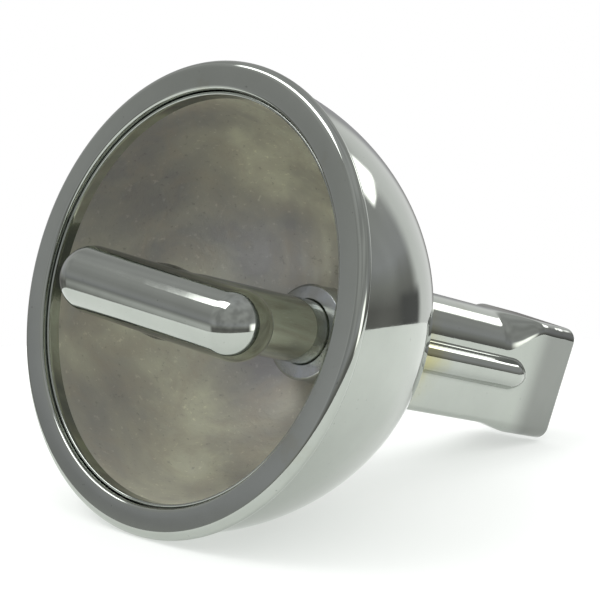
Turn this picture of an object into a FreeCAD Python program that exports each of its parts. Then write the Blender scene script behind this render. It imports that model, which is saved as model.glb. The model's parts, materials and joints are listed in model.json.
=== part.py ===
import FreeCAD, Part
import math
import os
from FreeCAD import Vector

# Hand pull: a T-grip inside a funnel-shaped bell guard, on a short squared neck.
# Frame: +Y runs from the bell's mouth to the mounting face, which lies at Y = 0.
# +Z is the neck's tall direction and +X runs along the grip's crossbar. Millimetres.
# "Station" means the distance along the axis from the rim plane towards the neck.

# ---- driving dimensions ----
overall_length = 152.0        # rim plane to mounting face
rim_radius = 60.0             # outside of the rolled bead
bead_radius = 2.1             # half thickness of the rim bezel
grip_axis_z = -2.2            # the grip, its rod and their bores sit a little below the bell's axis
bezel_inner_radius = 52.3
lip_outer_radius = 52.1       # inner ring of the mouth, formed by the liner
mouth_radius = 51.2           # clear opening of the bell
lip_front = -0.2              # station where the liner's lip starts to round over

shell_radius = 58.4           # outer shell, half axes of its ellipse
shell_depth = 67.8
shell_wall = 2.0
shell_floor = 63.0            # station of the flat seat for the neck
liner_depth = 62.0            # liner, half axis of its inner ellipse
liner_wall = 2.3
liner_floor = 59.0            # station of the floor seen inside the bell
floor_wall = 2.0
flange_radius = 56.1          # liner flange trapped behind the bezel

collar_front = 46.0           # round collar on the bell floor
collar_radius = 13.2
collar_foot_radius = 13.4
collar_flare = 8.0
spigot_radius = 10.5
spigot_end = 80.0
post_pocket_radius = 9.0
post_pocket_end = 61.0

post_radius = 8.8             # grip
post_front_radius = 8.0
post_taper_end = 6.0
bar_radius = 8.8
bar_half_length = 36.0
bar_station = -6.3
bar_turn = 2.5                # degrees off square with the neck, +X end raised
post_end = 59.2
pull_travel = 10.0

rod_radius = 5.0              # pull rod
rod_front = 35.0
rod_shoulder = 118.0
rod_tail_radius = 4.0
rod_end = 146.0
rod_socket_radius = 2.5
rod_socket_depth = 12.0
running_gap = 0.05
pin_radius = 1.5
lock_pin_station = 57.0

bush_wall_radius = 7.5        # front guide bush
bush_front = 62.0
bush_end = 78.0
bumper_inner_radius = 5.4
bumper_outer_radius = 8.6
bumper_thickness = 1.5

seat_washer_thickness = 2.0   # fixed end of the spring
seat_washer_radius = 9.6
spring_radius = 7.4
spring_wire_radius = 0.8
spring_turns = 7
spring_wire_sides = 10        # the wire's section is a ten-sided polygon
carrier_radius = 9.4          # ring that carries the anti-turn pin
carrier_end = 126.0
guide_pin_radius = 1.5
guide_pin_station = 122.0
guide_pin_tip = 12.6
lock_washer_thickness = 1.2
lock_washer_radius = 7.5
nut_flats = 13.0
nut_height = 6.5

neck_front = 64.0             # neck
neck_half_width = 12.5
neck_top = 16.8
neck_bottom = -16.6
neck_top_round = 12.4
neck_corner = 2.0
chamber_radius = 10.0
flare_start = 119.0
flare_end = 135.0
flare_steps = 7
block_half_width = 13.9       # squared end block
block_top = 17.3
block_bottom = -18.4
block_corner = 4.0
end_break = 1.2
rib_radius = 4.3
rib_axis_z = -0.4
rib_nose_start = 124.0
rib_nose_length = 9.0
slot_depth = 13.0
slot_clearance = 0.3

recess_radius = 11.5          # rear recess and its bush plate
recess_front = 138.0
plate_end = 143.0
rear_bush_radius = 6.0
rear_bush_end = 143.5
ring_groove_radius = 12.3
ring_inner_radius = 9.6
ring_thickness = 1.2
ring_gap_width = 8.0

dowel_radius = 1.2
dowel_x = 8.5
dowel_z = -13.0
dowel_end = 70.0
screw_hole_radius = 2.0       # M4 tapped holes in the end block
screw_half_spacing_x = 10.2
screw_half_spacing_z = 14.0
screw_hole_depth = 9.5

AXIS = Vector(0, 1, 0)


def at(radius, station):
    """Point of a turned profile, in the half plane X > 0."""
    return Vector(radius, station - overall_length, 0)


def line(first, second):
    return Part.makeLine(at(*first), at(*second))


def arc(first, middle, last):
    return Part.Arc(at(*first), at(*middle), at(*last)).toShape()


def ellipse_radius(half_width, half_depth, station):
    return half_width * math.sqrt(1.0 - (station / half_depth) ** 2)


def ellipse_arc(half_width, half_depth, first_station, last_station):
    """Arc of an ellipse centred on the axis in the rim plane."""
    ellipse = Part.Ellipse(at(0, half_depth), at(half_width, 0), at(0, 0))
    first_angle = math.acos(first_station / half_depth)
    last_angle = math.acos(last_station / half_depth)
    low, high = sorted((first_angle, last_angle))
    return Part.ArcOfEllipse(ellipse, low, high).toShape()


def turned(edges):
    """Solid turned from a closed set of profile edges."""
    wire = Part.Wire(Part.__sortEdges__(edges))
    solid = Part.Face(wire).revolve(Vector(0, 0, 0), AXIS, 360)
    return Part.Solid(solid) if solid.ShapeType == "Shell" else solid


def on_grip_axis(shape):
    shape.translate(Vector(0, 0, grip_axis_z))
    return shape


def rod(radius, first_station, last_station, x=0.0, z=grip_axis_z):
    """Plain cylinder along Y, on the grip's axis unless told otherwise."""
    base = Vector(x, first_station - overall_length, z)
    return Part.makeCylinder(radius, last_station - first_station, base, AXIS)


def sleeve(inner, outer, first_station, last_station):
    return rod(outer, first_station, last_station).cut(rod(inner, first_station, last_station))


def cross_pin(radius, station, x_first, x_last):
    base = Vector(x_first, station - overall_length, grip_axis_z)
    return Part.makeCylinder(radius, x_last - x_first, base, Vector(1, 0, 0))


def rounded_section(station, half_width, bottom, top, bottom_round, top_round):
    """Closed wire in the XZ plane with its own rounding at the bottom and the top."""
    y = station - overall_length

    def point(x, z):
        return Vector(x, y, z)

    def corner(x_side, z_edge, z_side, radius):
        diagonal = radius * (1.0 - math.sqrt(0.5))
        start = point(x_side * half_width, z_edge + z_side * radius)
        middle = point(x_side * (half_width - diagonal), z_edge + z_side * diagonal)
        end = point(x_side * (half_width - radius), z_edge)
        return start, middle, end

    low_right = corner(1, bottom, 1, bottom_round)
    high_right = corner(1, top, -1, top_round)
    high_left = corner(-1, top, -1, top_round)
    low_left = corner(-1, bottom, 1, bottom_round)
    edges = [
        Part.Arc(low_right[2], low_right[1], low_right[0]).toShape(),
        Part.makeLine(low_right[0], high_right[0]),
        Part.Arc(high_right[0], high_right[1], high_right[2]).toShape(),
        Part.makeLine(high_right[2], high_left[2]),
        Part.Arc(high_left[2], high_left[1], high_left[0]).toShape(),
        Part.makeLine(high_left[0], low_left[0]),
        Part.Arc(low_left[0], low_left[1], low_left[2]).toShape(),
        Part.makeLine(low_left[2], low_right[2]),
    ]
    return Part.Wire(edges)


def neck_section(station, share=0.0, shrink=0.0):
    """Neck outline, blended towards the end block by share and drawn in by shrink."""

    def mix(neck_value, block_value):
        return neck_value + (block_value - neck_value) * share

    return rounded_section(
        station,
        mix(neck_half_width, block_half_width) - shrink,
        mix(neck_bottom, block_bottom) + shrink,
        mix(neck_top, block_top) - shrink,
        mix(neck_corner, block_corner) - shrink * share,
        mix(neck_top_round, block_corner) - shrink * share,
    )


# ---- bell ----
def make_rim_bezel():
    flat = rim_radius - bead_radius
    edges = [
        line((bezel_inner_radius, -bead_radius), (flat, -bead_radius)),
        arc((flat, -bead_radius), (rim_radius, 0), (flat, bead_radius)),
        line((flat, bead_radius), (bezel_inner_radius, bead_radius)),
        line((bezel_inner_radius, bead_radius), (bezel_inner_radius, -bead_radius)),
    ]
    return turned(edges)


def make_bell_shell():
    inner_radius = shell_radius - shell_wall
    inner_depth = shell_depth - shell_wall
    inner_floor = shell_floor - floor_wall
    outer_mouth = (ellipse_radius(shell_radius, shell_depth, bead_radius), bead_radius)
    inner_mouth = (ellipse_radius(inner_radius, inner_depth, bead_radius), bead_radius)
    outer_seat = (ellipse_radius(shell_radius, shell_depth, shell_floor), shell_floor)
    inner_seat = (ellipse_radius(inner_radius, inner_depth, inner_floor), inner_floor)
    edges = [
        line(inner_mouth, outer_mouth),
        ellipse_arc(shell_radius, shell_depth, bead_radius, shell_floor),
        line(outer_seat, (0, shell_floor)),
        line((0, shell_floor), (0, inner_floor)),
        line((0, inner_floor), inner_seat),
        ellipse_arc(inner_radius, inner_depth, bead_radius, inner_floor),
    ]
    return turned(edges).cut(rod(spigot_radius, inner_floor, shell_floor)).cut(make_dowels())


def make_bell_liner():
    outer_radius = mouth_radius + liner_wall
    outer_depth = liner_depth + floor_wall
    outer_floor = liner_floor + floor_wall
    flange_back = bead_radius + floor_wall
    lip_middle = 0.5 * (mouth_radius + lip_outer_radius)
    lip_round = 0.5 * (lip_outer_radius - mouth_radius)
    outer_start = (ellipse_radius(outer_radius, outer_depth, flange_back), flange_back)
    outer_seat = (ellipse_radius(outer_radius, outer_depth, outer_floor), outer_floor)
    inner_seat = (ellipse_radius(mouth_radius, liner_depth, liner_floor), liner_floor)
    edges = [
        line((mouth_radius, 0), (mouth_radius, lip_front)),
        arc((mouth_radius, lip_front), (lip_middle, lip_front - lip_round), (lip_outer_radius, lip_front)),
        line((lip_outer_radius, lip_front), (lip_outer_radius, bead_radius)),
        line((lip_outer_radius, bead_radius), (flange_radius, bead_radius)),
        line((flange_radius, bead_radius), (flange_radius, flange_back)),
        line((flange_radius, flange_back), outer_start),
        ellipse_arc(outer_radius, outer_depth, flange_back, outer_floor),
        line(outer_seat, (0, outer_floor)),
        line((0, outer_floor), (0, liner_floor)),
        line((0, liner_floor), inner_seat),
        ellipse_arc(mouth_radius, liner_depth, 0, liner_floor),
    ]
    return turned(edges).cut(rod(spigot_radius, liner_floor, outer_floor))


def make_floor_collar():
    flare_start_station = collar_front + 5.0
    edge_round = 0.8
    flare_centre = collar_radius + collar_flare
    foot_angle = math.acos((flare_centre - collar_foot_radius) / collar_flare)
    foot_station = flare_start_station + collar_flare * math.sin(foot_angle)
    half_radius = flare_centre - collar_flare * math.cos(foot_angle / 2)
    half_station = flare_start_station + collar_flare * math.sin(foot_angle / 2)
    diagonal = edge_round * (1.0 - math.sqrt(0.5))
    edges = [
        line((post_pocket_radius, collar_front), (collar_radius - edge_round, collar_front)),
        arc(
            (collar_radius - edge_round, collar_front),
            (collar_radius - diagonal, collar_front + diagonal),
            (collar_radius, collar_front + edge_round),
        ),
        line((collar_radius, collar_front + edge_round), (collar_radius, flare_start_station)),
        arc(
            (collar_radius, flare_start_station),
            (half_radius, half_station),
            (collar_foot_radius, foot_station),
        ),
        line((collar_foot_radius, foot_station), (collar_foot_radius, liner_floor)),
        line((collar_foot_radius, liner_floor), (spigot_radius, liner_floor)),
        line((spigot_radius, liner_floor), (spigot_radius, spigot_end)),
        line((spigot_radius, spigot_end), (bush_wall_radius, spigot_end)),
        line((bush_wall_radius, spigot_end), (bush_wall_radius, post_pocket_end)),
        line((bush_wall_radius, post_pocket_end), (post_pocket_radius, post_pocket_end)),
        line((post_pocket_radius, post_pocket_end), (post_pocket_radius, collar_front)),
    ]
    return on_grip_axis(turned(edges))


def make_dowels():
    front = shell_floor - floor_wall
    pins = [rod(dowel_radius, front, dowel_end, x=side * dowel_x, z=dowel_z) for side in (-1, 1)]
    return Part.makeCompound(pins)


def make_seat_gasket():
    plate = Part.Face(neck_section(shell_floor)).extrude(AXIS * (neck_front - shell_floor))
    return plate.cut(rod(spigot_radius, shell_floor, neck_front)).cut(make_dowels())


# ---- grip and pull rod ----
def make_t_grip():
    y = bar_station - overall_length
    straight = bar_half_length - bar_radius
    start = Vector(-straight, y, grip_axis_z)
    bar = Part.makeCylinder(bar_radius, 2 * straight, start, Vector(1, 0, 0))
    for side in (-1, 1):
        bar = bar.fuse(Part.makeSphere(bar_radius, Vector(side * straight, y, grip_axis_z)))
    bar.rotate(Vector(0, 0, grip_axis_z), AXIS, -bar_turn)
    corners = [
        (0, bar_station),
        (post_front_radius, bar_station),
        (post_radius, post_taper_end),
        (post_radius, post_end),
        (0, post_end),
    ]
    edges = [line(corners[index - 1], corners[index]) for index in range(len(corners))]
    grip = bar.fuse(on_grip_axis(turned(edges))).removeSplitter()
    grip = grip.cut(rod(rod_radius, rod_front, post_end))
    return grip.cut(make_grip_lock_pin())


def make_grip_lock_pin():
    half_length = post_radius - 0.5
    return cross_pin(pin_radius, lock_pin_station, -half_length, half_length)


def make_pull_rod():
    body = rod(rod_radius, rod_front, rod_shoulder)
    tail = rod(rod_tail_radius, rod_shoulder, rod_end)
    socket = rod(rod_socket_radius, rod_end - rod_socket_depth, rod_end)
    return body.fuse(tail).cut(socket).cut(make_grip_lock_pin()).cut(make_guide_pin())


def make_guide_pin():
    return cross_pin(guide_pin_radius, guide_pin_station, 1.0, guide_pin_tip)


def make_guide_carrier():
    ring = sleeve(rod_tail_radius, carrier_radius, rod_shoulder, carrier_end)
    return ring.cut(make_guide_pin())


def make_lock_washer():
    end = carrier_end + lock_washer_thickness
    ring = sleeve(rod_tail_radius + 0.1, lock_washer_radius, carrier_end, end)
    slit = Part.makeBox(0.8, end - carrier_end, lock_washer_radius)
    slit.translate(Vector(-0.4, carrier_end - overall_length, grip_axis_z))
    return ring.cut(slit)


def make_rod_nut():
    start = carrier_end + lock_washer_thickness
    corner_radius = nut_flats / math.sqrt(3.0)
    corners = []
    for index in range(7):
        angle = math.radians(60 * index)
        x = corner_radius * math.cos(angle)
        z = grip_axis_z + corner_radius * math.sin(angle)
        corners.append(Vector(x, start - overall_length, z))
    prism = Part.Face(Part.makePolygon(corners)).extrude(AXIS * nut_height)
    return prism.cut(rod(rod_tail_radius, start, start + nut_height))


def make_return_spring():
    start = spigot_end + seat_washer_thickness + spring_wire_radius + 0.1
    end = rod_shoulder - spring_wire_radius - 0.1
    height = end - start
    helix = Part.makeHelix(height / spring_turns, height, spring_radius)
    corners = []
    for index in range(spring_wire_sides + 1):
        angle = 2 * math.pi * index / spring_wire_sides
        across = spring_radius + spring_wire_radius * math.cos(angle)
        corners.append(Vector(across, 0, spring_wire_radius * math.sin(angle)))
    spring = Part.Wire(helix.Edges).makePipeShell([Part.makePolygon(corners)], True, True)
    spring.rotate(Vector(0, 0, 0), Vector(1, 0, 0), -90)
    spring.translate(Vector(0, start - overall_length, grip_axis_z))
    return spring


# ---- neck ----
def make_neck_body():
    straight = Part.Face(neck_section(neck_front)).extrude(AXIS * (flare_start - neck_front))
    sections = []
    for step in range(flare_steps):
        along = step / (flare_steps - 1)
        station = flare_start + (flare_end - flare_start) * along
        share = along ** 2 * (3.0 - 2.0 * along)
        sections.append(neck_section(station, share))
    sections.append(neck_section(overall_length - end_break, 1.0))
    sections.append(neck_section(overall_length, 1.0, end_break))
    block = Part.makeLoft(sections, True, True)
    neck = straight.fuse(block).fuse(make_side_rib())
    neck = neck.cut(rod(spigot_radius, neck_front, spigot_end))
    neck = neck.cut(rod(chamber_radius, spigot_end, recess_front))
    neck = neck.cut(rod(recess_radius, recess_front, overall_length))
    neck = neck.cut(rod(ring_groove_radius, plate_end, plate_end + ring_thickness))
    return neck.cut(make_guide_slot()).cut(make_dowels()).cut(make_screw_holes())


def make_side_rib():
    """Half-round rib with a pointed nose, turned about its own axis."""
    x = neck_half_width
    z = rib_axis_z
    start = Vector(x, neck_front - overall_length, z)
    nose = rib_nose_start - overall_length
    curve_radius = (rib_radius ** 2 + rib_nose_length ** 2) / (2 * rib_radius)
    half_angle = 0.5 * math.asin(rib_nose_length / curve_radius)
    side = Vector(x + rib_radius, nose, z)
    out = rib_radius - curve_radius + curve_radius * math.cos(half_angle)
    middle = Vector(x + out, nose + curve_radius * math.sin(half_angle), z)
    tip = Vector(x, nose + rib_nose_length, z)
    edges = [
        Part.makeLine(start, start + Vector(rib_radius, 0, 0)),
        Part.makeLine(start + Vector(rib_radius, 0, 0), side),
        Part.Arc(side, middle, tip).toShape(),
        Part.makeLine(tip, start),
    ]
    return Part.Face(Part.Wire(edges)).revolve(start, AXIS, 360)


def make_guide_slot():
    reach = guide_pin_radius + slot_clearance
    first = guide_pin_station - pull_travel - reach
    last = guide_pin_station + reach
    slot = Part.makeBox(slot_depth, last - first, 2 * reach)
    slot.translate(Vector(0, first - overall_length, grip_axis_z - reach))
    return slot


def make_screw_holes():
    front = overall_length - screw_hole_depth
    holes = []
    for x_side in (-1, 1):
        for z_side in (-1, 1):
            x = x_side * screw_half_spacing_x
            z = z_side * screw_half_spacing_z
            holes.append(rod(screw_hole_radius, front, overall_length, x=x, z=z))
    return Part.makeCompound(holes)


def make_retaining_ring():
    end = plate_end + ring_thickness
    ring = sleeve(ring_inner_radius, ring_groove_radius, plate_end, end)
    opening = Part.makeBox(ring_gap_width, end - plate_end, ring_groove_radius)
    low = grip_axis_z - ring_groove_radius
    opening.translate(Vector(-ring_gap_width / 2, plate_end - overall_length, low))
    return ring.cut(opening)


bumper_front = post_pocket_end - bumper_thickness
seat_washer_end = spigot_end + seat_washer_thickness

nodes = {
    "rim_bezel": make_rim_bezel(),
    "bell_shell": make_bell_shell(),
    "bell_liner": make_bell_liner(),
    "floor_collar": make_floor_collar(),
    "bell_dowel_pins": make_dowels(),
    "seat_gasket": make_seat_gasket(),
    "front_bush": sleeve(rod_radius + running_gap, bush_wall_radius, bush_front, bush_end),
    "stop_bumper": sleeve(bumper_inner_radius, bumper_outer_radius, bumper_front, post_pocket_end),
    "t_grip": make_t_grip(),
    "grip_lock_pin": make_grip_lock_pin(),
    "pull_rod": make_pull_rod(),
    "spring_seat_washer": sleeve(bumper_inner_radius, seat_washer_radius, spigot_end, seat_washer_end),
    "return_spring": make_return_spring(),
    "guide_carrier": make_guide_carrier(),
    "guide_pin": make_guide_pin(),
    "lock_washer": make_lock_washer(),
    "rod_nut": make_rod_nut(),
    "neck_body": make_neck_body(),
    "rear_plate": sleeve(rear_bush_radius, recess_radius, recess_front, plate_end),
    "rear_bush": sleeve(rod_tail_radius + running_gap, rear_bush_radius, recess_front, rear_bush_end),
    "retaining_ring": make_retaining_ring(),
}

os.makedirs("parts", exist_ok=True)
for name, shape in nodes.items():
    shape.exportStep("parts/" + name + ".step")
    print(name, shape.ShapeType, len(shape.Solids), round(shape.Volume), shape.isValid())
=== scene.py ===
import json
import math

import bmesh
import bpy
import numpy as np
from mathutils import Matrix, Vector


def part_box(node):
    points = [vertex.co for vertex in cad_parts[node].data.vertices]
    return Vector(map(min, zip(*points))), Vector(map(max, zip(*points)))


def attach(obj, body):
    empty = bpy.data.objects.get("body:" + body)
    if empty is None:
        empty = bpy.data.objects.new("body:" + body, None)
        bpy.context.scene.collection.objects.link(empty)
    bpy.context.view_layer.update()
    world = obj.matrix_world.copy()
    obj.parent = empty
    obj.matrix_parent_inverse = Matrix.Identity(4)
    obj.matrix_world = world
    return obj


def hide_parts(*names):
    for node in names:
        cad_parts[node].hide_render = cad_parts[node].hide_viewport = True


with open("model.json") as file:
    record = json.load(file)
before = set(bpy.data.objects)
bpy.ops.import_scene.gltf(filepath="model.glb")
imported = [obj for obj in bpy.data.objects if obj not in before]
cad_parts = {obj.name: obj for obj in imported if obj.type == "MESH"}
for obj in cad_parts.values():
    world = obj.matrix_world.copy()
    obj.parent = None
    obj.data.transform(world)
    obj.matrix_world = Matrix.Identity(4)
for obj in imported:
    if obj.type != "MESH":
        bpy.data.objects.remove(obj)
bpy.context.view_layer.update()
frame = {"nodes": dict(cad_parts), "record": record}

# Guarded hand pull. +Y runs from the bell's mouth to the mounting face at Y = 0,
# +Z is the neck's tall direction, +X runs along the crossbar. Metres.

MM = 0.001


def node_box(name):
    low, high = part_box(name)
    return Vector(low), Vector(high)


# ---- sizes read from the frame ----
BEZEL_LOW, BEZEL_HIGH = node_box("rim_bezel")
SHELL_HIGH = node_box("bell_shell")[1]
LINER_HIGH = node_box("bell_liner")[1]
COLLAR_LOW, COLLAR_HIGH = node_box("floor_collar")
GRIP_LOW, GRIP_HIGH = node_box("t_grip")
NECK_LOW, NECK_HIGH = node_box("neck_body")
PLATE_LOW = node_box("rear_plate")[0]

RIM_Y = 0.5 * (BEZEL_LOW.y + BEZEL_HIGH.y)
RIM_RADIUS = min(BEZEL_HIGH.x, BEZEL_HIGH.z)
BEAD_RADIUS = 0.5 * (BEZEL_HIGH.y - BEZEL_LOW.y)
GRIP_Z = 0.5 * (COLLAR_LOW.z + COLLAR_HIGH.z)
GRIP_AXIS = Vector((0.0, 0.0, GRIP_Z))

# ---- driving dimensions that the boxes don't give ----
BEZEL_INNER = 52.3 * MM
LIP_OUTER = 52.1 * MM
MOUTH_RADIUS = 51.2 * MM
LIP_FRONT = -0.2 * MM
POLISHED_DEPTH = 2.8 * MM
SHELL_RADIUS = 58.4 * MM
SHELL_DEPTH = 67.8 * MM
SHELL_WALL = 2.0 * MM
SHELL_FLOOR = SHELL_HIGH.y - RIM_Y
LINER_DEPTH = 62.0 * MM
LINER_FLOOR = 59.0 * MM
LINER_BACK = LINER_HIGH.y - RIM_Y
LINER_WALL = 2.3 * MM
SPIGOT_RADIUS = 10.5 * MM
COLLAR_RADIUS = 13.2 * MM
COLLAR_FOOT = 13.4 * MM
COLLAR_FLARE = 8.0 * MM
POCKET_RADIUS = 8.9 * MM
POCKET_END = 61.0 * MM
SPIGOT_END = 80.0 * MM
BUSH_WALL_RADIUS = 7.5 * MM
BAR_RADIUS = 8.8 * MM
BAR_HALF = 36.0 * MM
BAR_TURN = math.radians(2.5)
BAR_Y = GRIP_LOW.y + BAR_RADIUS
POST_RADIUS = 8.8 * MM
POST_FRONT_RADIUS = 8.0 * MM
POST_TAPER = 12.3 * MM
POST_END_Y = GRIP_HIGH.y
GRIP_FILLET = 2.6 * MM

NECK_HALF = 12.5 * MM
NECK_TOP = 16.8 * MM
NECK_BOTTOM = -16.6 * MM
BLOCK_HALF = 13.9 * MM
BLOCK_TOP = NECK_HIGH.z
BLOCK_BOTTOM = NECK_LOW.z
FLARE_START_Y = -33.0 * MM
FLARE_END_Y = -17.0 * MM
END_BREAK = 1.2 * MM
BLOCK_ROUND = 4.0 * MM
RIB_RADIUS = 4.3 * MM
RIB_Z = -0.4 * MM
RIB_NOSE_Y = -28.0 * MM
RIB_NOSE_LENGTH = 9.0 * MM
CHAMBER_RADIUS = 10.0 * MM
RECESS_RADIUS = 11.5 * MM
RECESS_Y = PLATE_LOW.y
HOLE_RADIUS = 2.0 * MM
HOLE_DEPTH = 9.5 * MM
HOLE_X = 10.2 * MM
HOLE_Z = 14.0 * MM
FLOOR_START_RADIUS = 6.0 * MM
DOWEL_RADIUS = 1.2 * MM
DOWEL_X = 8.5 * MM
DOWEL_Z = -13.0 * MM
DOWEL_END = 70.0 * MM
GROOVE_RADIUS = 12.3 * MM
GROOVE_START = 143.0 * MM
GROOVE_END = 144.2 * MM
SLOT_DEPTH = 13.0 * MM
SLOT_HALF = 1.8 * MM
SLOT_START = 110.2 * MM
SLOT_END = 123.8 * MM
PAST = 1.0 * MM

# The object lies on a table: direction straight up from it, in the object's frame.
TABLE_UP = Vector((-0.148, -0.2525, 0.956)).normalized()
TABLE_LEVEL = -19.75 * MM


# ---- node helpers ----
class Nodes:
    """Short way to add and join shader nodes."""

    def __init__(self, tree):
        self.tree = tree
        tree.nodes.clear()

    def add(self, kind, **settings):
        node = self.tree.nodes.new(kind)
        for key, value in settings.items():
            setattr(node, key, value)
        return node

    def join(self, source, target):
        self.tree.links.new(source, target)

    def noise(self, vector, scale, detail=4.0, roughness=0.5, distortion=0.0):
        node = self.add("ShaderNodeTexNoise")
        node.inputs["Scale"].default_value = scale
        node.inputs["Detail"].default_value = detail
        node.inputs["Roughness"].default_value = roughness
        node.inputs["Distortion"].default_value = distortion
        self.join(vector, node.inputs["Vector"])
        return node.outputs["Fac"]

    def ramp(self, fac, stops):
        node = self.add("ShaderNodeValToRGB")
        elements = node.color_ramp.elements
        while len(elements) > 1:
            elements.remove(elements[0])
        elements[0].position = stops[0][0]
        elements[0].color = colour(stops[0][1])
        for place, value in stops[1:]:
            elements.new(place).color = colour(value)
        self.join(fac, node.inputs["Fac"])
        return node.outputs["Color"]

    def mix(self, fac, first, second, blend="MIX"):
        node = self.add("ShaderNodeMix", data_type="RGBA", blend_type=blend)
        for value, socket in ((fac, node.inputs[0]), (first, node.inputs[6]), (second, node.inputs[7])):
            if isinstance(value, bpy.types.NodeSocket):
                self.join(value, socket)
            else:
                socket.default_value = value
        return node.outputs[2]

    def maths(self, operation, first, second=0.0):
        node = self.add("ShaderNodeMath", operation=operation)
        for value, socket in ((first, node.inputs[0]), (second, node.inputs[1])):
            if isinstance(value, bpy.types.NodeSocket):
                self.join(value, socket)
            else:
                socket.default_value = value
        return node.outputs[0]

    def bump(self, height, strength, distance, normal=None):
        node = self.add("ShaderNodeBump")
        node.inputs["Strength"].default_value = strength
        node.inputs["Distance"].default_value = distance
        self.join(height, node.inputs["Height"])
        if normal is not None:
            self.join(normal, node.inputs["Normal"])
        return node.outputs["Normal"]


def colour(value):
    """Grey number or (r, g, b) as a four-part colour."""
    if isinstance(value, (int, float)):
        return (value, value, value, 1.0)
    return (*value, 1.0)


def new_material(name, metallic, roughness):
    material = bpy.data.materials.new(name)
    material.use_nodes = True
    nodes = Nodes(material.node_tree)
    shader = nodes.add("ShaderNodeBsdfPrincipled")
    shader.inputs["Metallic"].default_value = metallic
    shader.inputs["Roughness"].default_value = roughness
    output = nodes.add("ShaderNodeOutputMaterial")
    nodes.join(shader.outputs["BSDF"], output.inputs["Surface"])
    place = nodes.add("ShaderNodeTexCoord").outputs["Object"]
    return material, nodes, shader, place


# ---- materials ----
CHROME_TINT = (0.450, 0.475, 0.440)
CHROME_STAIN = (0.38, 0.38, 0.31)
BRASS_TINT = (0.46, 0.43, 0.19)
# Painted shade: the end block's base colour is darker, as its sides mirror darker surroundings.
END_SHADE_TINT = (0.24, 0.25, 0.235)
# Brassy stain on the rib beside the bell.
STAIN_SPOT = Vector((15.0, -80.0, -0.4)) * MM
STAIN_REACH = 20.0 * MM
# The neck's skin turns lumpy from here towards the mounting face.
LUMPY_FROM = -34.0 * MM


def make_chrome(name="polished_chrome", neck=False):
    material, nodes, shader, place = new_material(name, 1.0, 0.03)
    cloud = nodes.noise(place, 55.0, 5.0, 0.6)
    speck = nodes.noise(place, 900.0, 2.0, 0.5)
    smear = nodes.noise(place, 160.0, 6.0, 0.7, 0.6)
    tint = nodes.ramp(cloud, [(0.35, CHROME_TINT), (0.65, (0.425, 0.45, 0.415)), (0.85, CHROME_STAIN)])
    pits = nodes.ramp(speck, [(0.0, 0.6), (0.22, 0.8), (0.27, 1.0)])
    tint = nodes.mix(1.0, tint, pits, "MULTIPLY")
    if neck:
        brass = nodes.maths("MULTIPLY", near(nodes, place, STAIN_SPOT, STAIN_REACH), 1.0)
        tint = nodes.mix(brass, tint, colour(BRASS_TINT))
        rearward = nodes.add("ShaderNodeSeparateXYZ")
        nodes.join(place, rearward.inputs["Vector"])
        # Painted shade: the base colour darkens towards the mounting face.
        end_shade = nodes.add("ShaderNodeMapRange", interpolation_type="SMOOTHSTEP")
        end_shade.inputs["From Min"].default_value = 0.65 * LUMPY_FROM
        end_shade.inputs["From Max"].default_value = 0.35 * LUMPY_FROM
        nodes.join(rearward.outputs["Y"], end_shade.inputs["Value"])
        tint = nodes.mix(nodes.maths("MULTIPLY", end_shade.outputs["Result"], 0.9), tint, colour(END_SHADE_TINT))
    nodes.join(tint, shader.inputs["Base Color"])
    rough = nodes.ramp(smear, [(0.40, 0.035), (0.62, 0.07), (0.80, 0.15)])
    nodes.join(rough, shader.inputs["Roughness"])
    ripple = nodes.noise(place, 70.0, 2.0, 0.4)
    fine = nodes.noise(place, 420.0, 3.0, 0.6)
    wavy = nodes.bump(ripple, 0.07, 0.0012)
    if neck:
        lumps = nodes.noise(place, 110.0, 1.0, 0.4, 0.3)
        share = nodes.add("ShaderNodeMapRange", interpolation_type="SMOOTHSTEP")
        share.inputs["From Min"].default_value = LUMPY_FROM
        share.inputs["From Max"].default_value = 0.5 * LUMPY_FROM
        nodes.join(rearward.outputs["Y"], share.inputs["Value"])
        lumpy = nodes.maths("MULTIPLY", lumps, share.outputs["Result"])
        wavy = nodes.bump(lumpy, 0.35, 1.2 * MM, wavy)
    nodes.join(nodes.bump(fine, 0.012, 0.0002, wavy), shader.inputs["Normal"])
    return material


# Painted highlights: paler patches on the plate inside the bell where broad soft highlights fall: middle and
# reach.
PAINTED_HIGHLIGHT_SPOTS = [
    (Vector((-19.0, -120.0, 39.0)) * MM, 17.0 * MM),
    (Vector((-24.0, -113.0, -31.0)) * MM, 13.0 * MM),
    (Vector((-8.0, -122.0, -44.0)) * MM, 11.0 * MM),
]
# Plate colour from a value that mixes how clean the plate is with painted shade and painted highlights.
PLATE_STOPS = [
    (0.36, (0.36, 0.355, 0.36)),
    (0.50, (0.55, 0.54, 0.47)),
    (0.62, (0.78, 0.78, 0.64)),
    (0.80, (0.98, 0.99, 0.84)),
]


def near(nodes, place, middle, reach):
    """1 at the middle, falling smoothly to 0 at the reach, with a ragged edge."""
    ragged = nodes.noise(place, 90.0, 4.0, 0.6)
    gap = nodes.add("ShaderNodeVectorMath", operation="DISTANCE")
    nodes.join(place, gap.inputs[0])
    gap.inputs[1].default_value = middle
    distance = nodes.maths("ADD", gap.outputs["Value"], nodes.maths("MULTIPLY", ragged, 0.9 * reach))
    edge = nodes.add("ShaderNodeMapRange", interpolation_type="SMOOTHSTEP")
    edge.inputs["From Min"].default_value = 1.6 * reach
    edge.inputs["From Max"].default_value = 0.35 * reach
    nodes.join(distance, edge.inputs["Value"])
    return edge.outputs["Result"]


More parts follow.
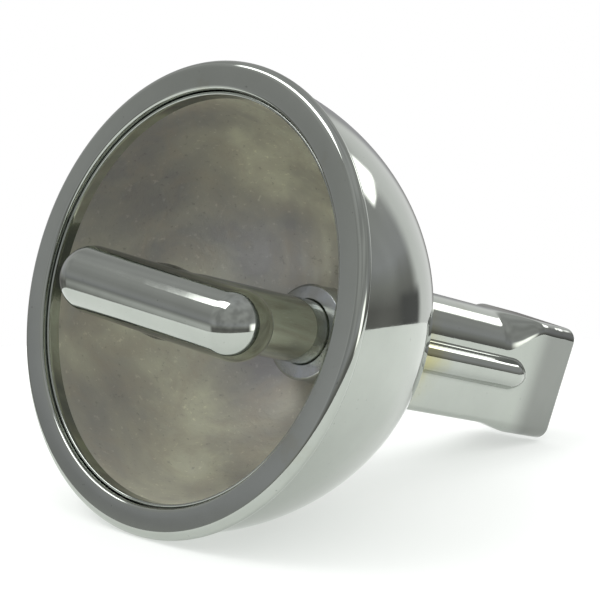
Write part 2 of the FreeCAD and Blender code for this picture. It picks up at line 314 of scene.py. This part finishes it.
def make_dull_plate():
    """Unpolished plate inside the bell: cloudy, olive-grey, freckled, with painted shade towards -X and
    painted highlight patches.
    """
    material, nodes, shader, place = new_material("dull_plate", 0.55, 0.4)
    broad = nodes.noise(place, 24.0, 4.0, 0.55, 0.5)
    patch = nodes.noise(place, 70.0, 5.0, 0.65, 0.8)
    freckle = nodes.noise(place, 560.0, 3.0, 0.7)
    # Painted shade: the plate is made darker towards -X, the bell's left wall.
    across = nodes.add("ShaderNodeSeparateXYZ")
    nodes.join(place, across.inputs["Vector"])
    side = nodes.add("ShaderNodeMapRange")
    side.inputs["From Min"].default_value = -MOUTH_RADIUS
    side.inputs["From Max"].default_value = 0.4 * MOUTH_RADIUS
    nodes.join(across.outputs["X"], side.inputs["Value"])
    painted_side_shade = nodes.maths("MULTIPLY", side.outputs["Result"], 0.22)
    stain_and_painted_light = nodes.maths("ADD", nodes.maths("MULTIPLY", broad, 0.8), painted_side_shade)
    # Painted highlights: the base colour is lifted at these spots.
    for spot, reach in PAINTED_HIGHLIGHT_SPOTS:
        stain_and_painted_light = nodes.maths("ADD", stain_and_painted_light, nodes.maths("MULTIPLY", near(nodes, place, spot, reach), 0.16))
    base = nodes.ramp(stain_and_painted_light, PLATE_STOPS)
    brown = nodes.ramp(patch, [(0.46, 0.0), (0.74, 0.5)])
    base = nodes.mix(brown, base, colour((0.52, 0.46, 0.38)))
    dots = nodes.ramp(freckle, [(0.28, 0.74), (0.38, 1.0), (0.61, 1.0), (0.71, 1.28)])
    nodes.join(nodes.mix(1.0, base, dots, "MULTIPLY"), shader.inputs["Base Color"])
    nodes.join(nodes.ramp(patch, [(0.30, 0.34), (0.70, 0.50)]), shader.inputs["Roughness"])
    grain = nodes.bump(freckle, 0.22, 0.0003)
    nodes.join(nodes.bump(patch, 0.10, 0.002, grain), shader.inputs["Normal"])
    return material


def make_satin_plate():
    material, nodes, shader, place = new_material("satin_plate", 1.0, 0.25)
    cloud = nodes.noise(place, 140.0, 5.0, 0.6)
    grain = nodes.noise(place, 900.0, 3.0, 0.6)
    tint = nodes.ramp(cloud, [(0.35, (0.50, 0.53, 0.55)), (0.70, (0.42, 0.42, 0.38))])
    nodes.join(tint, shader.inputs["Base Color"])
    nodes.join(nodes.ramp(cloud, [(0.3, 0.16), (0.7, 0.30)]), shader.inputs["Roughness"])
    nodes.join(nodes.bump(grain, 0.15, 0.0002), shader.inputs["Normal"])
    return material


def make_steel(name, light, dark, low_rough, high_rough):
    material, nodes, shader, place = new_material(name, 1.0, low_rough)
    cloud = nodes.noise(place, 220.0, 5.0, 0.6)
    stretch = nodes.add("ShaderNodeMapping")
    stretch.inputs["Scale"].default_value = (1.0, 0.03, 1.0)
    nodes.join(place, stretch.inputs["Vector"])
    lines = nodes.noise(stretch.outputs["Vector"], 2600.0, 2.0, 0.5)
    nodes.join(nodes.ramp(cloud, [(0.35, light), (0.70, dark)]), shader.inputs["Base Color"])
    nodes.join(nodes.ramp(lines, [(0.3, low_rough), (0.7, high_rough)]), shader.inputs["Roughness"])
    nodes.join(nodes.bump(lines, 0.10, 0.0001), shader.inputs["Normal"])
    return material


def make_rubber():
    material, nodes, shader, place = new_material("black_rubber", 0.0, 0.7)
    dust = nodes.noise(place, 300.0, 6.0, 0.7)
    grain = nodes.noise(place, 1800.0, 2.0, 0.5)
    black = nodes.ramp(dust, [(0.4, (0.018, 0.018, 0.018)), (0.8, (0.06, 0.058, 0.055))])
    nodes.join(black, shader.inputs["Base Color"])
    nodes.join(nodes.ramp(dust, [(0.3, 0.60), (0.7, 0.82)]), shader.inputs["Roughness"])
    nodes.join(nodes.bump(grain, 0.3, 0.0002), shader.inputs["Normal"])
    return material


MATERIALS = {
    "polished_chrome": make_chrome(),
    "neck_chrome": make_chrome("neck_chrome", neck=True),
    "dull_plate": make_dull_plate(),
    "satin_plate": make_satin_plate(),
    "plain_steel": make_steel("plain_steel", (0.56, 0.56, 0.57), (0.44, 0.44, 0.43), 0.16, 0.34),
    "spring_steel": make_steel("spring_steel", (0.30, 0.30, 0.31), (0.20, 0.19, 0.18), 0.20, 0.40),
    "bronze": make_steel("bronze", (0.60, 0.43, 0.24), (0.46, 0.32, 0.17), 0.28, 0.46),
    "black_rubber": make_rubber(),
}


# ---- mesh helpers ----
def finish_piece(piece, slot, replaced=(), body="housing", material=None):
    piece.data.materials.append(MATERIALS[material or slot])
    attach(piece, body)
    if replaced:
        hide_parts(*replaced)
    return piece


def object_from_arrays(name, points, faces):
    mesh = bpy.data.meshes.new(name)
    mesh.from_pydata([tuple(point) for point in points], [], faces)
    mesh.update()
    piece = bpy.data.objects.new(name, mesh)
    bpy.context.scene.collection.objects.link(piece)
    return piece


def shade(piece, sharp_degrees=30.0):
    mesh = piece.data
    mesh.shade_smooth()
    mesh.set_sharp_from_angle(angle=math.radians(sharp_degrees))


def arc_points(centre, radius, first, last, count):
    """Points of a circle's arc in (radius, station), angles in degrees from the outward direction."""
    angles = np.radians(np.linspace(first, last, count))
    return [(centre[0] + radius * math.cos(a), centre[1] + radius * math.sin(a)) for a in angles]


def ellipse_points(half_width, half_depth, first, last, count):
    """Points of an ellipse's arc between two stations."""
    low = math.acos(min(1.0, first / half_depth))
    high = math.acos(min(1.0, last / half_depth))
    angles = np.linspace(low, high, count)
    return [(half_width * math.sin(a), half_depth * math.cos(a)) for a in angles]


def lathe(name, profile, turns=256, axis=Vector((0.0, 0.0, 0.0))):
    """Closed mesh turned about the Y direction. Profile points are (radius, station)."""
    points = []
    for step in range(turns):
        angle = 2.0 * math.pi * step / turns
        for radius, station in profile:
            x = axis.x + radius * math.cos(angle)
            z = axis.z + radius * math.sin(angle)
            points.append((x, RIM_Y + station, z))
    count = len(profile)
    faces = []
    for step in range(turns):
        here = step * count
        there = ((step + 1) % turns) * count
        for index in range(count):
            after = (index + 1) % count
            faces.append((here + index, there + index, there + after, here + after))
    piece = object_from_arrays(name, points, faces)
    fix_normals(piece)
    shade(piece)
    return piece


def fix_normals(piece):
    work = bmesh.new()
    work.from_mesh(piece.data)
    bmesh.ops.recalc_face_normals(work, faces=work.faces)
    work.to_mesh(piece.data)
    work.free()


def cylinder(name, radius, first_y, last_y, x=0.0, z=0.0, sides=64):
    """Plain closed cutter along Y."""
    work = bmesh.new()
    middle = Matrix.Translation((x, 0.5 * (first_y + last_y), z))
    bmesh.ops.create_cone(
        work, cap_ends=True, segments=sides, radius1=radius, radius2=radius, depth=last_y - first_y,
        matrix=middle @ Matrix.Rotation(math.radians(90), 4, "X"),
    )
    mesh = bpy.data.meshes.new(name)
    work.to_mesh(mesh)
    work.free()
    piece = bpy.data.objects.new(name, mesh)
    bpy.context.scene.collection.objects.link(piece)
    return piece


def block(name, low, high):
    """Plain box cutter between two corners."""
    work = bmesh.new()
    middle = 0.5 * (low + high)
    size = Matrix.Diagonal((*(high - low), 1.0))
    bmesh.ops.create_cube(work, size=1.0, matrix=Matrix.Translation(middle) @ size)
    mesh = bpy.data.meshes.new(name)
    work.to_mesh(mesh)
    work.free()
    piece = bpy.data.objects.new(name, mesh)
    bpy.context.scene.collection.objects.link(piece)
    return piece


def dowel_cutters(first_y):
    """The two holes for the dowel pins, from first_y to the pins' far end."""
    last_y = RIM_Y + DOWEL_END
    return [
        cylinder("dowel", DOWEL_RADIUS, first_y, last_y, side * DOWEL_X, DOWEL_Z, 32)
        for side in (-1, 1)
    ]


def cut_away(piece, cutters):
    for cutter in cutters:
        modifier = piece.modifiers.new("cut", "BOOLEAN")
        modifier.operation = "DIFFERENCE"
        modifier.solver = "EXACT"
        modifier.object = cutter
    graph = bpy.context.evaluated_depsgraph_get()
    result = bpy.data.meshes.new_from_object(piece.evaluated_get(graph))
    piece.modifiers.clear()
    piece.data = result
    for cutter in cutters:
        bpy.data.objects.remove(cutter)


# ---- bell ----
def floor_hole_cutter():
    """The collar's spigot passes through the bell's floor on the grip axis."""
    first_y = RIM_Y + LINER_FLOOR - PAST
    return cylinder("floor_hole", SPIGOT_RADIUS, first_y, SHELL_HIGH.y + PAST, z=GRIP_Z, sides=160)


def make_rim_bezel():
    """Flat-faced ring with a full round outside and a soft shoulder inside."""
    shoulder = 1.1 * MM
    flat = RIM_RADIUS - BEAD_RADIUS
    front = -BEAD_RADIUS
    profile = arc_points((BEZEL_INNER + shoulder, front + shoulder), shoulder, 180, 270, 13)
    profile += [(0.5 * (BEZEL_INNER + flat), front)]
    profile += arc_points((flat, 0.0), BEAD_RADIUS, -90, 90, 33)
    profile += [(BEZEL_INNER, BEAD_RADIUS)]
    return finish_piece(lathe("rim_ring", profile, 384), "polished_chrome", ["rim_bezel"])


def make_bell_shell():
    inner_floor = SHELL_FLOOR - SHELL_WALL
    outer = ellipse_points(SHELL_RADIUS, SHELL_DEPTH, BEAD_RADIUS, SHELL_FLOOR, 90)
    inner = ellipse_points(SHELL_RADIUS - SHELL_WALL, SHELL_DEPTH - SHELL_WALL, BEAD_RADIUS, inner_floor, 60)
    profile = outer + [(FLOOR_START_RADIUS, SHELL_FLOOR), (FLOOR_START_RADIUS, inner_floor)]
    profile += list(reversed(inner))
    piece = lathe("bell_skin", profile, 384)
    first_y = RIM_Y + inner_floor - PAST
    cut_away(piece, [floor_hole_cutter()] + dowel_cutters(first_y))
    shade(piece)
    return finish_piece(piece, "polished_chrome", ["bell_shell"])


def make_bell_inside():
    flange_back = BEAD_RADIUS + 2.0 * MM
    outer = ellipse_points(MOUTH_RADIUS + LINER_WALL, LINER_DEPTH + 2.0 * MM, flange_back, LINER_BACK, 60)
    inner = ellipse_points(MOUTH_RADIUS, LINER_DEPTH, 0.15 * MM, LINER_FLOOR, 110)
    flange = LINER_HIGH.x
    profile = [(MOUTH_RADIUS + 0.4 * MM, 0.15 * MM), (MOUTH_RADIUS + 0.4 * MM, BEAD_RADIUS)]
    profile += [(flange, BEAD_RADIUS), (flange, flange_back)] + outer
    profile += [(FLOOR_START_RADIUS, LINER_BACK), (FLOOR_START_RADIUS, LINER_FLOOR)] + list(reversed(inner))
    piece = lathe("bell_inside", profile, 384)
    cut_away(piece, [floor_hole_cutter()])
    shade(piece)
    return finish_piece(piece, "dull_plate", ["bell_liner"])


def make_mouth_lip():
    """Rolled edge of the liner and the polished band just inside it."""
    skin = 0.06 * MM
    middle = 0.5 * (MOUTH_RADIUS + LIP_OUTER)
    half = 0.5 * (LIP_OUTER - MOUTH_RADIUS)
    band = ellipse_points(MOUTH_RADIUS - skin, LINER_DEPTH - skin, 0.1 * MM, POLISHED_DEPTH, 12)
    profile = arc_points((middle, LIP_FRONT), half, -180, 0, 17)
    profile += [(LIP_OUTER, BEAD_RADIUS - 0.05 * MM), (MOUTH_RADIUS + 0.5 * MM, BEAD_RADIUS - 0.05 * MM)]
    profile += [(MOUTH_RADIUS + 0.5 * MM, POLISHED_DEPTH)]
    profile += list(reversed(band))
    return finish_piece(lathe("mouth_lip", profile, 384), "polished_chrome")


def make_floor_collar():
    front = COLLAR_LOW.y - RIM_Y
    edge = 0.8 * MM
    flare_start = front + 5.0 * MM
    flare_centre = COLLAR_RADIUS + COLLAR_FLARE
    foot_angle = math.degrees(math.acos((flare_centre - COLLAR_FOOT) / COLLAR_FLARE))
    chamfer = 0.3 * MM
    profile = [(POCKET_RADIUS, POCKET_END)]
    profile += [(POCKET_RADIUS, front + chamfer), (POCKET_RADIUS + chamfer, front)]
    profile += arc_points((COLLAR_RADIUS - edge, front + edge), edge, -90, 0, 9)
    profile += [
        (2 * flare_centre - r, s)
        for r, s in arc_points((flare_centre, flare_start), COLLAR_FLARE, 0, foot_angle, 16)
    ]
    profile += [(COLLAR_FOOT, LINER_FLOOR), (SPIGOT_RADIUS, LINER_FLOOR), (SPIGOT_RADIUS, SPIGOT_END)]
    profile += [(BUSH_WALL_RADIUS, SPIGOT_END), (BUSH_WALL_RADIUS, POCKET_END)]
    return finish_piece(lathe("post_collar", profile, 160, GRIP_AXIS), "satin_plate", ["floor_collar"])


# ---- smooth solid shapes, as distance functions ----
def smooth_min(first, second, radius):
    """Union of two distance fields with a fillet of about this radius."""
    gap = np.maximum(radius - np.abs(first - second), 0.0) / radius
    return np.minimum(first, second) - gap ** 3 * radius / 6.0


def capsule_distance(p, start, end, radius):
    along = end - start
    share = np.clip(((p - start) @ along) / (along @ along), 0.0, 1.0)
    return np.linalg.norm(p - start - share[:, None] * along, axis=1) - radius


def grip_distance(p):
    straight = BAR_HALF - BAR_RADIUS
    reach = np.array([straight * math.cos(BAR_TURN), 0.0, straight * math.sin(BAR_TURN)])
    middle = np.array([0.0, BAR_Y, GRIP_Z])
    left = middle - reach
    right = middle + reach
    bar = capsule_distance(p, left, right, BAR_RADIUS)
    radial = np.hypot(p[:, 0], p[:, 2] - GRIP_Z)
    post_radius = np.interp(p[:, 1] - BAR_Y, [0.0, POST_TAPER], [POST_FRONT_RADIUS, POST_RADIUS])
    in_front = np.hypot(np.maximum(radial - 0.5 * POST_FRONT_RADIUS, 0.0), BAR_Y - p[:, 1])
    post = np.maximum(radial - post_radius, p[:, 1] - POST_END_Y)
    post = np.where(p[:, 1] < BAR_Y, np.maximum(post, in_front), post)
    return smooth_min(bar, post, 2.0 * GRIP_FILLET)


def gradient(distance, p, step=0.02 * MM):
    parts = []
    for axis in range(3):
        shift = np.zeros(3)
        shift[axis] = step
        parts.append((distance(p + shift) - distance(p - shift)) / (2.0 * step))
    slope = np.stack(parts, axis=1)
    return slope / np.maximum(np.linalg.norm(slope, axis=1, keepdims=True), 1e-9)


def true_normals(piece, distance, skin=0.03 * MM, agree=0.8):
    """Gives the skin its exact normals; faces that were cut through it stay flat or follow their own bore."""
    mesh = piece.data
    flat = np.empty(len(mesh.vertices) * 3)
    mesh.vertices.foreach_get("co", flat)
    p = flat.reshape(-1, 3)
    slope = gradient(distance, p)
    on_skin = np.abs(distance(p)) < skin
    loops = len(mesh.loops)
    vertex_of = np.empty(loops, dtype=np.int32)
    mesh.loops.foreach_get("vertex_index", vertex_of)
    own = np.array([tuple(corner.vector) for corner in mesh.corner_normals])
    face_of = np.repeat(np.arange(len(mesh.polygons)), [len(face.vertices) for face in mesh.polygons])
    face_normal = np.array([tuple(face.normal) for face in mesh.polygons])[face_of]
    exact = slope[vertex_of]
    use = on_skin[vertex_of] & ((exact * face_normal).sum(axis=1) > agree)
    mesh.normals_split_custom_set(np.where(use[:, None], exact, own).tolist())


def settle_on(piece, distance, passes=6):
    """Moves every vertex onto the surface where distance is zero."""
    mesh = piece.data
    flat = np.empty(len(mesh.vertices) * 3)
    mesh.vertices.foreach_get("co", flat)
    p = flat.reshape(-1, 3)
    for _ in range(passes):
        p = p - distance(p)[:, None] * gradient(distance, p)
    mesh.vertices.foreach_set("co", p.ravel())
    mesh.update()


def make_t_grip():
    rings = 72
    sides = 96
    straight = BAR_HALF - BAR_RADIUS
    work = bmesh.new()
    turn = Matrix.Rotation(math.radians(90), 4, "Y")
    bar_place = Matrix.Translation((0.0, BAR_Y, GRIP_Z))
    bmesh.ops.create_uvsphere(
        work, u_segments=sides, v_segments=rings, radius=BAR_RADIUS, matrix=bar_place @ turn,
    )
    for vertex in work.verts:
        if abs(vertex.co.x) > 1e-7:
            vertex.co.x += math.copysign(straight, vertex.co.x)
    length = POST_END_Y - BAR_Y
    post_middle = Matrix.Translation((0.0, BAR_Y + 0.5 * length, GRIP_Z))
    post_place = post_middle @ Matrix.Rotation(math.radians(-90), 4, "X")
    bmesh.ops.create_cone(
        work, cap_ends=True, segments=sides, radius1=POST_FRONT_RADIUS, radius2=POST_RADIUS, depth=length,
        matrix=post_place,
    )
    mesh = bpy.data.meshes.new("t_handle")
    work.to_mesh(mesh)
    work.free()
    piece = bpy.data.objects.new("t_handle", mesh)
    bpy.context.scene.collection.objects.link(piece)
    modifier = piece.modifiers.new("remesh", "REMESH")
    modifier.mode = "VOXEL"
    modifier.voxel_size = 0.7 * MM
    graph = bpy.context.evaluated_depsgraph_get()
    result = bpy.data.meshes.new_from_object(piece.evaluated_get(graph))
    piece.modifiers.clear()
    piece.data = result
    settle_on(piece, grip_distance)
    shade(piece, 50.0)
    true_normals(piece, grip_distance)
    return finish_piece(piece, "polished_chrome", ["t_grip"], "grip")


# ---- neck ----
def rounded_profile_distance(x, z, half, bottom, top, bottom_round, top_round):
    """Distance in the XZ plane to a rectangle with its own rounding at the bottom and top."""
    middle = 0.5 * (top + bottom)
    rounding = np.where(z > middle, top_round, bottom_round)
    dx = np.abs(x) - (half - rounding)
    dz = np.abs(z - middle) - (0.5 * (top - bottom) - rounding)
    outside = np.hypot(np.maximum(dx, 0.0), np.maximum(dz, 0.0))
    return outside + np.minimum(np.maximum(dx, dz), 0.0) - rounding


def neck_distance(x, y, z):
    share = np.clip((y - FLARE_START_Y) / (FLARE_END_Y - FLARE_START_Y), 0.0, 1.0)
    blend = share ** 2 * (3.0 - 2.0 * share)
    over = np.clip((y + END_BREAK) / END_BREAK, 0.0, 1.0)
    shrink = END_BREAK * (1.0 - np.sqrt(np.maximum(1.0 - over ** 2, 0.0)))

    def mix(first, second):
        return first + (second - first) * blend

    half = mix(NECK_HALF, BLOCK_HALF) - shrink
    bottom = mix(NECK_BOTTOM, BLOCK_BOTTOM) + shrink
    top = mix(NECK_TOP, BLOCK_TOP) - shrink
    low_round = mix(2.0 * MM, BLOCK_ROUND)
    high_round = mix(NECK_HALF - 0.1 * MM, BLOCK_ROUND)
    body = rounded_profile_distance(x, z, half, bottom, top, low_round, high_round)
    ahead = np.clip((y - RIB_NOSE_Y) / RIB_NOSE_LENGTH, 0.0, 1.0)
    rib_radius = RIB_RADIUS * (1.0 - ahead ** 2)
    rib = np.hypot(x - NECK_HALF, z - RIB_Z) - rib_radius
    return smooth_min(body, rib, 1.6 * MM)


def neck_distance_at(p):
    return neck_distance(p[:, 0], p[:, 1], p[:, 2])


def neck_outline(y, angles):
    """Radius of the neck's skin in each direction from the grip axis, by bisection."""
    low = np.full_like(angles, 5.0 * MM)
    high = np.full_like(angles, 30.0 * MM)
    for _ in range(34):
        middle = 0.5 * (low + high)
        inside = neck_distance(middle * np.cos(angles), y, GRIP_Z + middle * np.sin(angles)) < 0.0
        low = np.where(inside, middle, low)
        high = np.where(inside, high, middle)
    return 0.5 * (low + high)


def make_neck():
    sides = 480
    angles = np.linspace(0.0, 2.0 * math.pi, sides, endpoint=False)
    stations = list(np.linspace(NECK_LOW.y, RIB_NOSE_Y, 50, endpoint=False))
    stations += list(np.linspace(RIB_NOSE_Y, FLARE_END_Y, 90, endpoint=False))
    stations += list(np.linspace(FLARE_END_Y, -END_BREAK, 12, endpoint=False))
    stations += [-END_BREAK * math.cos(a) for a in np.linspace(0.0, 0.5 * math.pi, 10)]
    points = []
    for y in stations:
        radius = neck_outline(y, angles)
        points += [(r * math.cos(a), y, GRIP_Z + r * math.sin(a)) for r, a in zip(radius, angles)]
    faces = []
    for row in range(len(stations) - 1):
        here, there = row * sides, (row + 1) * sides
        for index in range(sides):
            after = (index + 1) % sides
            faces.append((here + index, here + after, there + after, there + index))
    faces.append(tuple(range(sides)))
    last = (len(stations) - 1) * sides
    faces.append(tuple(last + index for index in reversed(range(sides))))
    piece = object_from_arrays("neck_casting", points, faces)
    fix_normals(piece)
    slot_low = Vector((0.0, RIM_Y + SLOT_START, GRIP_Z - SLOT_HALF))
    slot_high = Vector((SLOT_DEPTH, RIM_Y + SLOT_END, GRIP_Z + SLOT_HALF))
    cutters = [
        cylinder("bore", CHAMBER_RADIUS, NECK_LOW.y - PAST, RECESS_Y + PAST, z=GRIP_Z),
        cylinder("spigot_bore", SPIGOT_RADIUS, NECK_LOW.y - PAST, RIM_Y + SPIGOT_END, z=GRIP_Z, sides=160),
        cylinder("recess", RECESS_RADIUS, RECESS_Y, PAST, z=GRIP_Z, sides=96),
        cylinder("groove", GROOVE_RADIUS, RIM_Y + GROOVE_START, RIM_Y + GROOVE_END, z=GRIP_Z, sides=96),
        block("slot", slot_low, slot_high),
    ]
    cutters += dowel_cutters(NECK_LOW.y - PAST)
    for x_side in (-1, 1):
        for z_side in (-1, 1):
            x = x_side * HOLE_X
            z = z_side * HOLE_Z
            cutters.append(cylinder("hole", HOLE_RADIUS, -HOLE_DEPTH, PAST, x, z, 48))
    cut_away(piece, cutters)
    shade(piece, 35.0)
    true_normals(piece, neck_distance_at)
    return finish_piece(piece, "polished_chrome", ["neck_body"], material="neck_chrome")


# ---- stage, lights and camera ----
FLOOR_HALF = 270.0 * MM
FLOOR_CENTRE = Vector((10.0, -80.0, 0.0)) * MM


def make_floor():
    side = TABLE_UP.orthogonal().normalized()
    across = TABLE_UP.cross(side)
    middle = FLOOR_CENTRE + TABLE_UP * (TABLE_LEVEL - TABLE_UP.dot(FLOOR_CENTRE))
    turns = 96
    corners = []
    for step in range(turns):
        angle = 2.0 * math.pi * step / turns
        corners.append(middle + (side * math.cos(angle) + across * math.sin(angle)) * FLOOR_HALF)
    floor = object_from_arrays("table_top", corners, [tuple(range(turns))])
    material, nodes, shader, place = new_material("table_paint", 0.0, 0.6)
    cloud = nodes.noise(place, 9.0, 3.0, 0.5)
    paint = nodes.ramp(cloud, [(0.3, (0.43, 0.435, 0.43)), (0.7, (0.45, 0.455, 0.45))])
    nodes.join(paint, shader.inputs["Base Color"])
    shader.inputs["Specular IOR Level"].default_value = 0.1
    shader.inputs["Emission Color"].default_value = (0.97, 1.0, 0.97, 1.0)
    shader.inputs["Emission Strength"].default_value = 0.55
    floor.data.materials.append(material)


# Room brightness by elevation above the table's horizon, in degrees.
ROOM_STOPS = [
    (-90, (0.95, 0.97, 0.95)),
    (-19, (0.95, 0.97, 0.95)),
    (-15, (0.22, 0.22, 0.21)),
    (-6, (0.19, 0.185, 0.18)),
    (0, (0.33, 0.33, 0.32)),
    (6, (0.44, 0.44, 0.46)),
    (18, (0.43, 0.43, 0.43)),
    (40, (0.46, 0.46, 0.46)),
    (90, (0.52, 0.52, 0.54)),
]
# Studio panels round the object: azimuth, elevation, half width, half height (degrees),
# softness, colour. Azimuth 0 is in front of the mouth, 90 is on the +X side.
PALE_WALL = (-166, 2, 14, 26, 0.35, (0.86, 0.87, 0.86))
REAR_SOFTBOX = (178, 22, 8, 3, 0.3, (4.2, 4.2, 4.1))
SIDE_SOFTBOX = (105, -2, 14, 9, 0.5, (2.6, 2.6, 2.5))
GREY_PANEL = (-46, -9, 10, 8, 0.7, (0.72, 0.73, 0.72))
DARK_PANEL = (174, -7, 9, 4, 0.4, (0.13, 0.13, 0.13))
PANELS = [PALE_WALL, REAR_SOFTBOX, SIDE_SOFTBOX, GREY_PANEL, DARK_PANEL]
# Long tube light parallel to X: the ray's share along X, its turn about X in degrees from
# straight out of the mouth, half sizes, softness, colour.
TUBE_LIGHT = (-0.45, 47, 0.3, 10, 0.06, (4.4, 4.4, 4.4))


def to_share(degrees):
    """Elevation as the ramp's 0 to 1."""
    return 0.5 + degrees / 180.0


def room_mask(nodes, across, up, thing):
    """Soft-edged rectangle in the room, 1 inside and 0 outside."""
    place_across, place_up, half_across, half_up, soft, _ = thing
    aside = nodes.add("ShaderNodeMath", operation="WRAP")
    nodes.join(nodes.maths("SUBTRACT", across, float(place_across)), aside.inputs[0])
    aside.inputs[1].default_value = 180.0
    aside.inputs[2].default_value = -180.0
    above = nodes.maths("SUBTRACT", up, float(place_up))
    parts = []
    for offset, half in ((aside.outputs[0], half_across), (above, half_up)):
        share = nodes.maths("DIVIDE", nodes.maths("ABSOLUTE", offset), float(half))
        edge = nodes.add("ShaderNodeMapRange", interpolation_type="SMOOTHSTEP")
        edge.inputs["From Min"].default_value = 1.0 + soft
        edge.inputs["From Max"].default_value = 1.0 - soft
        nodes.join(share, edge.inputs["Value"])
        parts.append(edge.outputs["Result"])
    return nodes.maths("MULTIPLY", parts[0], parts[1])


def make_world():
    """A plain room for the chrome to mirror; plain white to the camera."""
    world = bpy.data.worlds.new("room")
    bpy.context.scene.world = world
    world.use_nodes = True
    nodes = Nodes(world.node_tree)
    direction = nodes.add("ShaderNodeTexCoord").outputs["Generated"]
    ahead = Vector((0.0, 1.0, 0.0))
    ahead = (ahead - TABLE_UP * ahead.dot(TABLE_UP)).normalized()
    along = []
    for axis in (TABLE_UP, -ahead, ahead.cross(TABLE_UP)):
        dot = nodes.add("ShaderNodeVectorMath", operation="DOT_PRODUCT")
        dot.inputs[1].default_value = axis
        nodes.join(direction, dot.inputs[0])
        along.append(dot.outputs["Value"])
    degrees = 180.0 / math.pi
    elevation = nodes.maths("MULTIPLY", nodes.maths("ARCSINE", along[0]), degrees)
    azimuth = nodes.maths("MULTIPLY", nodes.maths("ARCTAN2", along[2], along[1]), degrees)
    share = nodes.add("ShaderNodeMath", operation="MULTIPLY_ADD")
    nodes.join(elevation, share.inputs[0])
    share.inputs[1].default_value = 1.0 / 180.0
    share.inputs[2].default_value = 0.5
    room = nodes.ramp(share.outputs[0], [(to_share(place), value) for place, value in ROOM_STOPS])
    clutter = nodes.noise(direction, 2.5, 1.0, 0.5)
    room = nodes.mix(1.0, room, nodes.ramp(clutter, [(0.35, 0.80), (0.65, 1.15)]), "MULTIPLY")
    for thing in PANELS:
        room = nodes.mix(room_mask(nodes, azimuth, elevation, thing), room, colour(thing[5]))
    frame_axes = nodes.add("ShaderNodeSeparateXYZ")
    nodes.join(direction, frame_axes.inputs["Vector"])
    outward = nodes.maths("MULTIPLY", frame_axes.outputs["Y"], -1.0)
    turn = nodes.maths("MULTIPLY", nodes.maths("ARCTAN2", frame_axes.outputs["Z"], outward), degrees)
    tube = room_mask(nodes, frame_axes.outputs["X"], turn, TUBE_LIGHT)
    room = nodes.mix(tube, room, colour(TUBE_LIGHT[5]))
    seen = nodes.add("ShaderNodeLightPath").outputs["Is Camera Ray"]
    light = nodes.mix(seen, room, colour(1.0))
    background = nodes.add("ShaderNodeBackground")
    nodes.join(light, background.inputs["Color"])
    output = nodes.add("ShaderNodeOutputWorld")
    nodes.join(background.outputs["Background"], output.inputs["Surface"])


def make_lights():
    """One broad soft light from straight above the table; the chrome mirrors the room instead of it."""
    lamp = bpy.data.lights.new("soft_overhead", "SUN")
    lamp.energy = 2.45
    lamp.angle = math.radians(120.0)
    holder = bpy.data.objects.new("soft_overhead", lamp)
    bpy.context.scene.collection.objects.link(holder)
    holder.rotation_euler = (-TABLE_UP).to_track_quat("-Z", "Y").to_euler()
    holder.visible_glossy = False


# Where the camera stands and how it is turned about X, Y and Z.
CAMERA_PLACE = Vector((286.9, -415.9, 29.3)) * MM
CAMERA_TURN = [math.radians(angle) for angle in (86.66, -16.64, 44.21)]
CAMERA_LENS = 94.3


def make_camera():
    camera = bpy.data.cameras.new("camera")
    camera.lens = CAMERA_LENS
    camera.sensor_width = 36.0
    camera.clip_start = 0.01
    holder = bpy.data.objects.new("camera", camera)
    bpy.context.scene.collection.objects.link(holder)
    holder.location = CAMERA_PLACE
    holder.rotation_euler = CAMERA_TURN
    bpy.context.scene.camera = holder


def repaint_cad_nodes():
    """The CAD nodes that stay get the better materials."""
    slots = {part["node"]: part["material_slot"] for part in frame["record"]["subparts"]}
    for name, node in frame["nodes"].items():
        for place in node.material_slots:
            place.material = MATERIALS[slots[name]]


make_rim_bezel()
make_bell_shell()
make_bell_inside()
make_mouth_lip()
make_floor_collar()
make_t_grip()
make_neck()
repaint_cad_nodes()
make_floor()
make_world()
make_lights()
make_camera()
bpy.context.scene.view_settings.view_transform = "Standard"
